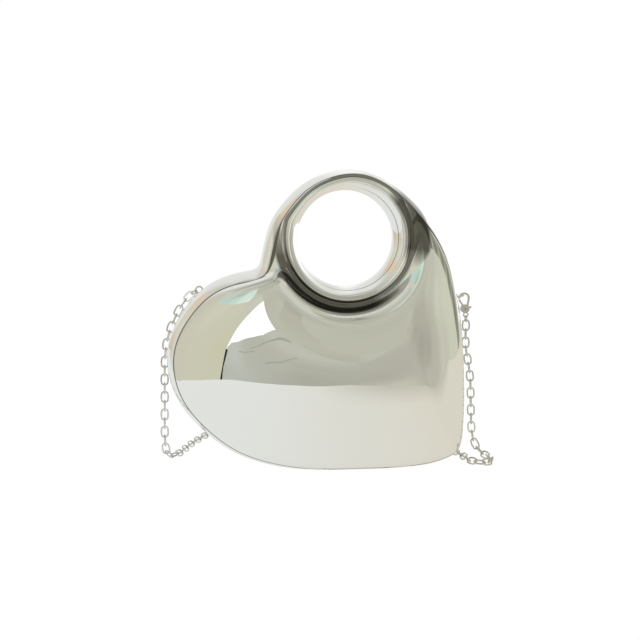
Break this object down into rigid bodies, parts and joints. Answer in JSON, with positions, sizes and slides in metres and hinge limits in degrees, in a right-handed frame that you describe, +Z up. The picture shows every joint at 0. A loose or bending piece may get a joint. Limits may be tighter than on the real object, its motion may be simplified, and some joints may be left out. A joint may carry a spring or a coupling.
{
  "type": "heart shaped purse",
  "caption": "Rigid heart shaped clutch purse with a mirror finish, a round hand hole through its upper lobe, a hinged front shell and a fine chain strap with a lobster claw.",
  "frame": {"origin": "on the floor plane under the middle of the heart's bounding box", "axes": "+Z up, +X to the wearer's view right, the front shell faces -Y"},
  "size_m": [0.2316, 0.1738, 0.2024],
  "materials": {
    "mirror_shell": "mirror chrome plating over moulded plastic",
    "lining": "matte",
    "fittings": "polished",
    "hinge_metal": "satin",
    "magnet": "nickel plated",
    "chain": "polished"
  },
  "bodies": {
    "case": {"back_shell": "mirror_shell", "back_lining": "lining", "hinge_back_leaf": "hinge_metal", "hinge_pin": "hinge_metal", "hinge_back_screws": "fittings", "back_magnets": "magnet", "back_magnet_brackets": "hinge_metal", "left_eyelet": "fittings", "right_eyelet": "fittings", "eyelet_washers": "fittings", "eyelet_nuts": "fittings", "left_jump_ring": "chain", "right_jump_ring": "chain", "claw_body": "fittings", "claw_spring": "hinge_metal", "claw_rivet": "hinge_metal", "chain_left_hang": "chain", "chain_left_floor": "chain", "chain_coil": "chain", "chain_right_floor": "chain", "chain_right_hang": "chain"},
    "lid": {"front_shell": "mirror_shell", "front_lining": "lining", "hinge_front_leaf": "hinge_metal", "hinge_front_screws": "fittings", "front_magnets": "magnet"},
    "trigger": {"claw_trigger": "fittings"}
  },
  "joints": [
    {"name": "lid_hinge", "type": "hinge", "parent": "case", "child": "lid", "pos_m": [0.024, -0.012, 0.00175], "axis": [1, 0, 0], "range_deg": [0, 45]},
    {"name": "trigger_pivot", "type": "hinge", "parent": "case", "child": "trigger", "pos_m": [0.10438, 0.01464, 0.10604], "axis": [0, 1, 0], "range_deg": [0, 18], "stiffness_Nm_per_rad": 0.01, "springref_deg": -5.73}
  ]
}
